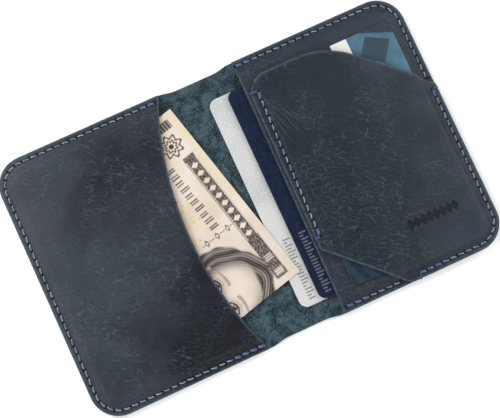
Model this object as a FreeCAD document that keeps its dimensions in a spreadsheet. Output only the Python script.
import FreeCAD, Part
import math
import os
import Sketcher

# Open leather wallet with one fold, lying flat with its pockets up.
# X runs along the open length, Y up the height of a page, Z away from the table.
# The origin is under the middle of the fold line, on the outer face.

driving = {
    # leather
    "shellLength": 166.0,         # the shell laid open
    "cornerRadius": 11.0,
    "shellLeather": 1.4,
    "pocketLeather": 1.2,
    "spinePinch": 1.0,            # how far the shell is cut in at the fold, top and bottom
    "pinchRun": 7.0,              # length of the slope into that cut
    # contents
    "cardLength": 85.6,
    "cardWidth": 53.98,
    "cardThickness": 0.76,
    "cardCorner": 3.18,
    "paperThickness": 0.11,
    "leafGap": 0.02,              # air between the two leaves of the folded note
    "noteLength": 78.0,           # the note folded once across its length
    "noteWidth": 66.3,
    "noteTilt": 14.0,             # degrees that the note leans in its pocket
    "foldStrip": 0.4,             # paper that joins the two leaves
    # clearances
    "slideGap": 0.1,              # between a card and the sheet or card next to it
    "closedGap": 0.5,             # between the two pages when shut
    "cardSlack": 6.3,             # room above and below a card in its pocket
    "cardRest": 2.05,             # part of that room below the card
    "cardSideGap": 0.9,           # room at each side of the card in the front pocket
    # seams
    "seamInset": 1.9,             # from a leather edge to the thread
    "stitchPitch": 3.2,
    "threadRadius": 0.3,
    "barWidth": 0.44,
    "barHeight": 0.4,
    "awlClearance": 0.05,
    "stitchRecess": 0.5,          # depth of the slot that hides a stitch underneath
    # stitched margins, up to the step where each pocket rises
    "noteBorder": 2.8,
    "panelBorder": 4.6,
    "frontBorder": 3.4,
    "sideBorder": 2.8,
    "stackGap": 0.1,              # between the rise of the card panel and the front pocket around it
    # pocket outlines
    "notePocketReach": 66.8,      # from the left edge to the ends of the curved mouth
    "mouthRadius": 134.0,
    "mouthDepth": 9.6,
    "mouthDrop": 2.0,             # the deepest point of the mouth, below the middle
    "panelShows": 1.4,            # card panel seen beside the front pocket
    "panelSlant": 0.9,            # its free edge leans this far
    "frontOverCard": 1.7,         # front pocket's top above the card that it holds
    "frontShoulder": 33.0,        # from the right edge to where the slanted mouth starts
    "frontMouthHeight": 64.2,     # where the slanted mouth meets the right edge
    "frontCutHeight": 25.3,       # lower corner of the front pocket's side
    "frontCutFoot": 40.4,         # from the right edge to where the slanted cut meets the bottom
    "shoulderRadius": 30.0,
    "frontTopRadius": 5.0,
    "frontCutRadius": 4.0,
    # where the contents stand
    "silverShows": 14.7,
    "navyShows": 7.1,
    "noteCornerX": 6.4,           # right end of the note's folded edge, from the fold line
    "noteCornerHeight": 21.3,
    # ends of the seams
    "seamEndGap": 0.8,
    "wrapLength": 1.8,            # from the front pocket's mouth to the first hole beside it
    "sideSeamLow": 4.6,
    "sideSeamHigh": 6.4,
    "footSeamRun": 4.4,
}

doc = FreeCAD.newDocument("wallet")
sheet = doc.addObject("Spreadsheet::Sheet", "Sizes")
for row, (name, value) in enumerate(driving.items(), start=1):
    sheet.set(f"A{row}", name)
    sheet.set(f"B{row}", str(value))
    sheet.setAlias(f"B{row}", name)
doc.recompute()


class Size:
    """A number together with the sheet expression that gives it."""

    def __init__(self, number, text):
        self.number = number
        self.text = text

    def __add__(self, other):
        other = sized(other)
        return Size(self.number + other.number, f"({self.text} + {other.text})")

    def __sub__(self, other):
        other = sized(other)
        return Size(self.number - other.number, f"({self.text} - {other.text})")

    def __mul__(self, factor):
        return Size(self.number * factor, f"({self.text} * {factor})")

    def __neg__(self):
        return self * -1.0


def sized(item):
    return item if isinstance(item, Size) else Size(float(item), str(float(item)))


def read(name):
    return Size(float(getattr(sheet, name)), f"Sizes.{name}")


size = {name: read(name) for name in driving}

# heights of the layers, from the table up
shellTop = size["shellLeather"]
silverBottom = shellTop + size["slideGap"]
silverTop = silverBottom + size["cardThickness"]
noteBottom = silverTop + size["slideGap"]
noteTop = noteBottom + size["paperThickness"] * 2 + size["leafGap"]
navyBottom = noteTop + size["slideGap"]
navyTop = navyBottom + size["cardThickness"]
borderTop = shellTop + size["pocketLeather"]
notePocketUnder = noteTop + size["slideGap"]
notePocketTop = notePocketUnder + size["pocketLeather"]
panelUnder = navyTop + size["slideGap"]
panelTop = panelUnder + size["pocketLeather"]
blueBottom = panelTop + size["slideGap"]
blueTop = blueBottom + size["cardThickness"]
frontUnder = blueTop + size["slideGap"]
frontTop = frontUnder + size["pocketLeather"]
frontBorderTop = borderTop + size["pocketLeather"]
sideBorderTop = panelTop + size["pocketLeather"]
foldHeight = (frontTop + notePocketTop + size["closedGap"]) * 0.5

# places across the page
halfLength = size["shellLength"] * 0.5
wallOffset = size["panelBorder"] + size["pocketLeather"]
shellHeight = size["cardLength"] + size["cardSlack"] + wallOffset * 2
top = shellHeight * 0.5
bottom = -top
right = halfLength
left = -halfLength
spineHalf = (foldHeight - size["shellLeather"] * 0.5) * (math.pi / 2)
cardBottomY = bottom + wallOffset + size["cardRest"]
cardTopY = cardBottomY + size["cardLength"]
frontInner = wallOffset - size["stackGap"]
blueRight = right - frontInner - size["cardSideGap"]
blueLeft = blueRight - size["cardWidth"]
frontCavityLeft = blueLeft - size["cardSideGap"]
sideStep = frontCavityLeft - size["pocketLeather"]
frontLeft = sideStep - size["sideBorder"]
panelMouth = frontLeft - size["panelShows"]
frontTopY = cardTopY + size["frontOverCard"]
frontMouthY = bottom + size["frontMouthHeight"]
frontCutY = bottom + size["frontCutHeight"]
frontFootX = right - size["frontCutFoot"]
beyond = 20.0                     # cuts run this far past the leather
mouthSpare = 5.0                  # leather past the note pocket's reach, for the curved mouth to cut
marginTuck = 0.2                  # how far the side margin ends below the bend above it
seamFootShare = 0.35              # place of the side seam's two ends across the side border
seamHeadShare = 0.75
awlReach = 1.0                    # how far each hole is cut past the leather, above and below


def makeBody(name):
    return doc.addObject("PartDesign::Body", name)


def sketchOn(body, name, level):
    """An empty sketch parallel to the table, at a height bound to the sheet."""
    sketch = body.newObject("Sketcher::SketchObject", name)
    plane = [item for item in body.Origin.OriginFeatures if item.Role == "XY_Plane"][0]
    sketch.AttachmentSupport = [(plane, "")]
    sketch.MapMode = "FlatFace"
    sketch.AttachmentOffset = FreeCAD.Placement(FreeCAD.Vector(0, 0, level.number), FreeCAD.Rotation())
    sketch.setExpression("AttachmentOffset.Base.z", level.text)
    return sketch


def outline(body, name, corners, level):
    """A closed outline of (x, y) corners, each held by its two distances from the origin.

    A corner (x, y, radius, back, on) is rounded: back and on are the unit steps along X and Y that
    lead from the corner to the one before it and to the one after it.
    """
    sketch = sketchOn(body, name, sized(level))
    points = []
    for corner in corners:
        x, y = sized(corner[0]), sized(corner[1])
        if len(corner) == 2:
            points.append((x, y, None, 0))
            continue
        radius, back, on = corner[2:]
        turn = back[1] * on[0] - back[0] * on[1]
        points.append((x + radius * back[0], y + radius * back[1], radius, turn))
        points.append((x + radius * on[0], y + radius * on[1], None, 0))
    count = len(points)
    places = [FreeCAD.Vector(x.number, y.number, 0) for x, y, radius, turn in points]
    for index, (x, y, radius, turn) in enumerate(points):
        start, end = places[index], places[(index + 1) % count]
        if radius is None:
            sketch.addGeometry(Part.LineSegment(start, end))
            continue
        first, last = (start, end) if turn > 0 else (end, start)
        chord = last - first
        side = FreeCAD.Vector(-chord.y, chord.x, 0) * 0.5
        centre = (first + last) * 0.5 + side
        circle = Part.Circle(centre, FreeCAD.Vector(0, 0, 1), radius.number)
        angles = [math.atan2(place.y - centre.y, place.x - centre.x) for place in (first, last)]
        sketch.addGeometry(Part.ArcOfCircle(circle, angles[0], angles[1]))
    for index, (x, y, radius, turn) in enumerate(points):
        follower = (index + 1) % count
        end = 1 if radius is not None and turn < 0 else 2
        start = 2 if points[follower][2] is not None and points[follower][3] < 0 else 1
        sketch.addConstraint(Sketcher.Constraint("Coincident", index, end, follower, start))
        if radius is not None:
            held = sketch.addConstraint(Sketcher.Constraint("Radius", index, radius.number))
            sketch.setExpression(f"Constraints[{held}]", radius.text)
    for index, (x, y, radius, turn) in enumerate(points):
        spot = 2 if radius is not None and turn < 0 else 1
        for kind, place in (("DistanceX", x), ("DistanceY", y)):
            held = sketch.addConstraint(Sketcher.Constraint(kind, -1, 1, index, spot, place.number))
            sketch.setExpression(f"Constraints[{held}]", place.text)
    return sketch


def rectangle(body, name, x0, y0, x1, y1, level):
    return outline(body, name, [(x0, y0), (x1, y0), (x1, y1), (x0, y1)], level)


def pad(body, sketch, length):
    feature = body.newObject("PartDesign::Pad", sketch.Name + "Pad")
    feature.Profile = sketch
    feature.setExpression("Length", length.text)
    doc.recompute()
    return feature


def cutUp(body, sketch, length):
    """A pocket from the sketch upwards, which has to take leather away."""
    before = body.Shape.Volume
    feature = body.newObject("PartDesign::Pocket", sketch.Name + "Cut")
    feature.Profile = sketch
    feature.Reversed = True
    feature.setExpression("Length", sized(length).text)
    doc.recompute()
    if body.Shape.Volume >= before:
        raise RuntimeError(sketch.Name + " cut nothing")
    if not body.Shape.isValid():
        raise RuntimeError(sketch.Name + " left a shape that isn't valid")
    return feature


def roundCorners(body, name, corners, radius):
    """Rounds the upright edges that stand at the given corners."""
    base = body.Tip
    found = []
    for index, edge in enumerate(base.Shape.Edges, start=1):
        ends = [vertex.Point for vertex in edge.Vertexes]
        if len(ends) != 2 or abs(ends[0].z - ends[1].z) < 0.1:
            continue
        for x, y in corners:
            if all(math.hypot(end.x - x.number, end.y - y.number) < 0.05 for end in ends):
                found.append(f"Edge{index}")
    if len(found) < len(corners):
        raise RuntimeError(name + " found too few edges")
    feature = body.newObject("PartDesign::Fillet", name)
    feature.Base = (base, found)
    feature.setExpression("Radius", radius.text)
    doc.recompute()
    return feature


def makeSeam(name, corners, low, high, bend):
    """One thread through a row of awl holes, and the tool that opens its holes and slots.

    The row follows the corners, rounded by bend, and its holes are evenly spaced. Each stitch is
    a bar on top, a bar in a slot underneath and the two strands that go down at its ends.
    """
    path = roundedPath(corners, bend)
    count = max(2, round(path.Length / size["stitchPitch"].number)) + 1
    holes = path.discretize(Number=count)
    recess = size["stitchRecess"].number
    bar = size["barHeight"].number
    clear = size["awlClearance"].number
    thread = ladder(holes, 0.0, low + recess - bar, low + recess, high, high + bar)
    tool = ladder(holes, clear, low - awlReach, low + recess, high + awlReach, high + awlReach)
    threadFeature = doc.addObject("Part::Feature", name)
    threadFeature.Shape = thread
    toolFeature = doc.addObject("Part::Feature", name + "_awl")
    toolFeature.Shape = tool
    threadFeature.Placement = FreeCAD.Placement()
    print(name, "stitches:", count - 1)
    return threadFeature, toolFeature


def roundedPath(corners, bend):
    """A wire of straight runs joined by tangent arcs of one radius."""
    points = [FreeCAD.Vector(x.number, y.number, 0) for x, y in corners]
    edges = []
    start = points[0]
    for before, corner, after in zip(points, points[1:], points[2:]):
        inward = (corner - before).normalize()
        outward = (after - corner).normalize()
        turn = inward.getAngle(outward)
        reach = bend * math.tan(turn / 2)
        middle = (outward - inward).normalize() * (bend / math.cos(turn / 2) - bend)
        first = corner - inward * reach
        last = corner + outward * reach
        edges.append(Part.LineSegment(start, first).toShape())
        edges.append(Part.Arc(first, corner + middle, last).toShape())
        start = last
    edges.append(Part.LineSegment(start, points[-1]).toShape())
    return Part.Wire(edges)


def ladder(holes, extra, low, slotTop, topLow, topHigh):
    """Posts at the holes, bars between them from low to slotTop and from topLow to topHigh."""
    radius = size["threadRadius"].number + extra
    width = size["barWidth"].number + 2 * extra
    solids = [Part.makeCylinder(radius, topHigh - low, FreeCAD.Vector(p.x, p.y, low)) for p in holes]
    levels = [(low, slotTop)]
    if topHigh > topLow:
        levels.append((topLow, topHigh))
    for first, second in zip(holes, holes[1:]):
        run = second - first
        angle = math.degrees(math.atan2(run.y, run.x))
        for start, end in levels:
            bar = Part.makeBox(run.Length, width, end - start, FreeCAD.Vector(0, -width / 2, 0))
            bar.rotate(FreeCAD.Vector(), FreeCAD.Vector(0, 0, 1), angle)
            bar.translate(FreeCAD.Vector(first.x, first.y, start))
            solids.append(bar)
    return solids[0].multiFuse(solids[1:]).removeSplitter()


def punch(sheetBody, name, tools):
    """Cuts each seam's holes and slots out of a leather sheet, and names the result."""
    result = sheetBody
    for number, tool in enumerate(tools, start=1):
        cut = doc.addObject("Part::Cut", f"{name}_{number}")
        cut.Base = result
        cut.Tool = tool
        result = cut
    result.Label = name
    doc.recompute()
    return result


# --- shell: one hide in three stretches, because the middle one bends ---

def makeShellPage(name, side):
    """The page on one side of the fold; side is -1 on the left and 1 on the right."""
    body = makeBody(name + "Body")
    edge = right * side
    inner = spineHalf * side
    slope = (spineHalf + size["pinchRun"]) * side
    pinched = size["spinePinch"]
    corners = [(edge, bottom), (slope, bottom), (inner, bottom + pinched),
               (inner, top - pinched), (slope, top), (edge, top)]
    pad(body, outline(body, name + "Outline", corners, 0), shellTop)
    roundCorners(body, name + "Corners", [corners[0], corners[-1]], size["cornerRadius"])
    return body


def makeSpine():
    body = makeBody("spineBody")
    pinched = size["spinePinch"]
    strip = rectangle(body, "spineOutline", -spineHalf, bottom + pinched, spineHalf, top - pinched, 0)
    pad(body, strip, shellTop)
    body.Label = "shell_spine"
    return body


# --- note pocket: raised sheet stitched on three sides, with a curved mouth ---

def makeNotePocket():
    body = makeBody("notePocketBody")
    border = size["noteBorder"]
    wall = border + size["pocketLeather"]
    mouthEnd = left + size["notePocketReach"] + mouthSpare
    past = mouthEnd + beyond
    corners = [(left, bottom), (mouthEnd, bottom), (mouthEnd, top), (left, top)]
    pad(body, outline(body, "notePocketOutline", corners, shellTop), notePocketTop - shellTop)
    stepBend = size["cornerRadius"] - border
    step = [(past, bottom - beyond), (past, bottom + border),
            (left + border, bottom + border, stepBend, (1, 0), (0, 1)),
            (left + border, top - border, stepBend, (0, -1), (1, 0)),
            (past, top - border), (past, top + beyond),
            (left - beyond, top + beyond), (left - beyond, bottom - beyond)]
    cutUp(body, outline(body, "noteMargin", step, borderTop), notePocketTop - borderTop)
    roundCorners(body, "notePocketCorners", [corners[0], corners[3]], size["cornerRadius"])
    cavityBend = size["cornerRadius"] - wall
    cavity = [(past, top - wall), (left + wall, top - wall, cavityBend, (1, 0), (0, -1)),
              (left + wall, bottom + wall, cavityBend, (0, 1), (1, 0)), (past, bottom + wall)]
    cutUp(body, outline(body, "noteCavity", cavity, shellTop), notePocketUnder - shellTop)
    mouth = sketchOn(body, "noteMouth", shellTop)
    centreX = left + size["notePocketReach"] - size["mouthDepth"] + size["mouthRadius"]
    centreY = -size["mouthDrop"]
    centre = FreeCAD.Vector(centreX.number, centreY.number, 0)
    mouth.addGeometry(Part.Circle(centre, FreeCAD.Vector(0, 0, 1), size["mouthRadius"].number))
    for kind, place in (("DistanceX", centreX), ("DistanceY", centreY)):
        held = mouth.addConstraint(Sketcher.Constraint(kind, -1, 1, 0, 3, place.number))
        mouth.setExpression(f"Constraints[{held}]", place.text)
    held = mouth.addConstraint(Sketcher.Constraint("Radius", 0, size["mouthRadius"].number))
    mouth.setExpression(f"Constraints[{held}]", size["mouthRadius"].text)
    cutUp(body, mouth, notePocketTop - shellTop)
    return body


# --- card panel: raised sheet stitched on three sides, open towards the fold ---

def makeCardPanel():
    body = makeBody("cardPanelBody")
    border = size["panelBorder"]
    before = panelMouth - beyond
    inner = right - wallOffset
    corners = [(panelMouth - size["panelSlant"], bottom), (right, bottom), (right, top), (panelMouth, top)]
    pad(body, outline(body, "cardPanelOutline", corners, shellTop), panelTop - shellTop)
    stepBend = size["cornerRadius"] - border
    step = [(before, bottom + border), (right - border, bottom + border, stepBend, (-1, 0), (0, 1)),
            (right - border, top - border, stepBend, (0, -1), (-1, 0)), (before, top - border),
            (before, top + beyond), (right + beyond, top + beyond), (right + beyond, bottom - beyond),
            (before, bottom - beyond)]
    cutUp(body, outline(body, "cardMargin", step, borderTop), panelTop - borderTop)
    roundCorners(body, "cardPanelCorners", [corners[1], corners[2]], size["cornerRadius"])
    cavityBend = size["cornerRadius"] - wallOffset
    cavity = [(before, bottom + wallOffset), (inner, bottom + wallOffset, cavityBend, (-1, 0), (0, 1)),
              (inner, top - wallOffset, cavityBend, (0, -1), (-1, 0)), (before, top - wallOffset)]
    cutUp(body, outline(body, "cardCavity", cavity, shellTop), panelUnder - shellTop)
    return body


# --- front pocket: lies on the card panel, open along its slanted mouth and its lower cut ---

def makeFrontPocket():
    body = makeBody("frontPocketBody")
    border = size["frontBorder"]
    bottomStep = bottom + border
    corners = [(frontLeft, frontCutY), (frontFootX, bottom), (right, bottom), (right, frontMouthY),
               (right - size["frontShoulder"], frontTopY), (frontLeft, frontTopY)]
    pad(body, outline(body, "frontOutline", corners, borderTop), frontTop - borderTop)
    side = rectangle(body, "sideMargin", frontLeft - beyond, frontCutY + size["frontCutRadius"], sideStep,
                     frontTopY - size["frontTopRadius"] - marginTuck, sideBorderTop)
    cutUp(body, side, frontTop - sideBorderTop)
    step = [(right - border, top + beyond),
            (right - border, bottomStep, size["cornerRadius"] - border, (0, 1), (-1, 0)),
            (frontLeft - beyond, bottomStep), (frontLeft - beyond, bottom - beyond),
            (right + beyond, bottom - beyond), (right + beyond, top + beyond)]
    cutUp(body, outline(body, "frontMargin", step, frontBorderTop), frontTop - frontBorderTop)
    roundCorners(body, "frontCorner", [corners[2]], size["cornerRadius"])
    roundCorners(body, "frontShoulderBend", [corners[4]], size["shoulderRadius"])
    roundCorners(body, "frontTopBend", [corners[5]], size["frontTopRadius"])
    roundCorners(body, "frontCutBend", [corners[0]], size["frontCutRadius"])
    roomInset = size["panelBorder"] - size["stackGap"]
    room = [(frontLeft - beyond, bottom + roomInset),
            (right - roomInset, bottom + roomInset, size["cornerRadius"] - roomInset, (-1, 0), (0, 1)),
            (right - roomInset, top + beyond), (frontLeft - beyond, top + beyond)]
    cutUp(body, outline(body, "frontPanelRoom", room, borderTop), panelTop - borderTop)
    cavity = [(frontCavityLeft, bottom + frontInner),
              (right - frontInner, bottom + frontInner, size["cornerRadius"] - frontInner, (-1, 0), (0, 1)),
              (right - frontInner, top + beyond), (frontCavityLeft, top + beyond)]
    cutUp(body, outline(body, "frontCavity", cavity, panelTop), frontUnder - panelTop)
    return body


# --- contents ---

def makeCard(name, cardLeft, level):
    body = makeBody(name)
    cardRight = cardLeft + size["cardWidth"]
    pad(body, rectangle(body, name + "Outline", cardLeft, cardBottomY, cardRight, cardTopY, level),
        size["cardThickness"])
    corners = [(x, y) for x in (cardLeft, cardRight) for y in (cardBottomY, cardTopY)]
    roundCorners(body, name + "Corners", corners, size["cardCorner"])
    return body


def makeNote():
    """Two leaves joined along the folded edge, drawn square and then leaned in the pocket."""
    body = makeBody("banknote")
    width = size["noteWidth"]
    length = size["noteLength"]
    leaf = size["paperThickness"]
    pad(body, rectangle(body, "lowerLeaf", -width, 0, 0, length, 0), leaf)
    pad(body, rectangle(body, "paperFold", -width, 0, 0, size["foldStrip"], leaf), size["leafGap"])
    pad(body, rectangle(body, "upperLeaf", -width, 0, 0, length, leaf + size["leafGap"]), leaf)
    body.Placement = FreeCAD.Placement(FreeCAD.Vector(), FreeCAD.Rotation(FreeCAD.Vector(0, 0, 1), 1.0))
    body.setExpression("Placement.Base.x", size["noteCornerX"].text)
    body.setExpression("Placement.Base.y", (bottom + size["noteCornerHeight"]).text)
    body.setExpression("Placement.Base.z", noteBottom.text)
    body.setExpression("Placement.Rotation.Angle", size["noteTilt"].text)
    doc.recompute()
    return body


# --- seams ---

inset = size["seamInset"]
bend = (size["cornerRadius"] - inset).number
endGap = size["seamEndGap"]
seamTop = top - inset
seamBottom = bottom + inset
seamRight = right - inset
wrapY = frontMouthY - size["wrapLength"]
footX = frontFootX + size["footSeamRun"]
noteSeamEnd = left + size["notePocketReach"] - endGap
panelSeamStart = panelMouth + endGap

seams = {
    "seam_note_pocket": makeSeam(
        "seam_note_pocket",
        [(noteSeamEnd, seamTop), (left + inset, seamTop),
         (left + inset, seamBottom), (noteSeamEnd, seamBottom)],
        0.0, borderTop.number, bend),
    "seam_card_panel_top": makeSeam(
        "seam_card_panel_top",
        [(panelSeamStart, seamTop), (seamRight, seamTop),
         (seamRight, frontMouthY + inset + size["wrapLength"])],
        0.0, borderTop.number, bend),
    "seam_card_panel_bottom": makeSeam(
        "seam_card_panel_bottom",
        [(panelSeamStart, seamBottom), (frontFootX - inset - size["wrapLength"], seamBottom)],
        0.0, borderTop.number, bend),
    "seam_front_pocket_corner": makeSeam(
        "seam_front_pocket_corner",
        [(seamRight, wrapY), (seamRight, seamBottom), (footX, seamBottom)],
        0.0, frontBorderTop.number, bend),
    "seam_front_pocket_side": makeSeam(
        "seam_front_pocket_side",
        [(frontLeft + size["sideBorder"] * seamFootShare, frontCutY + size["sideSeamLow"]),
         (frontLeft + size["sideBorder"] * seamHeadShare, frontTopY - size["sideSeamHigh"])],
        panelUnder.number, sideBorderTop.number, bend),
}
threads = [thread for thread, awl in seams.values()]


def awls(*names):
    return [seams[name][1] for name in names]


subParts = [
    punch(makeShellPage("shellLeft", -1), "shell_left", awls("seam_note_pocket")),
    makeSpine(),
    punch(makeShellPage("shellRight", 1), "shell_right",
          awls("seam_card_panel_top", "seam_card_panel_bottom", "seam_front_pocket_corner")),
    punch(makeNotePocket(), "note_pocket", awls("seam_note_pocket")),
    punch(makeCardPanel(), "card_panel",
          awls("seam_card_panel_top", "seam_card_panel_bottom", "seam_front_pocket_corner",
               "seam_front_pocket_side")),
    punch(makeFrontPocket(), "front_pocket", awls("seam_front_pocket_corner", "seam_front_pocket_side")),
    makeNote(),
    makeCard("silver_card", panelMouth - size["silverShows"], silverBottom),
    makeCard("navy_card", panelMouth - size["navyShows"], navyBottom),
    makeCard("blue_card", blueLeft, blueBottom),
] + threads

doc.recompute()
for item in doc.Objects:
    if "Invalid" in item.State or "Error" in item.State:
        raise RuntimeError(item.Name + " failed: " + str(item.State))

os.makedirs("parts", exist_ok=True)
for item in subParts:
    shape = item.Shape
    if shape.isNull() or not shape.isValid():
        raise RuntimeError(item.Label + " has no valid shape")
    box = shape.BoundBox
    print(f"{item.Label}: solids {len(shape.Solids)}, volume {shape.Volume:.1f}, "
          f"x {box.XMin:.2f} {box.XMax:.2f}, y {box.YMin:.2f} {box.YMax:.2f}, z {box.ZMin:.2f} {box.ZMax:.2f}")
    shape.exportStep(f"parts/{item.Label}.step")
print(f"fold axis height {foldHeight.number:.3f}, spine half width {spineHalf.number:.3f}")
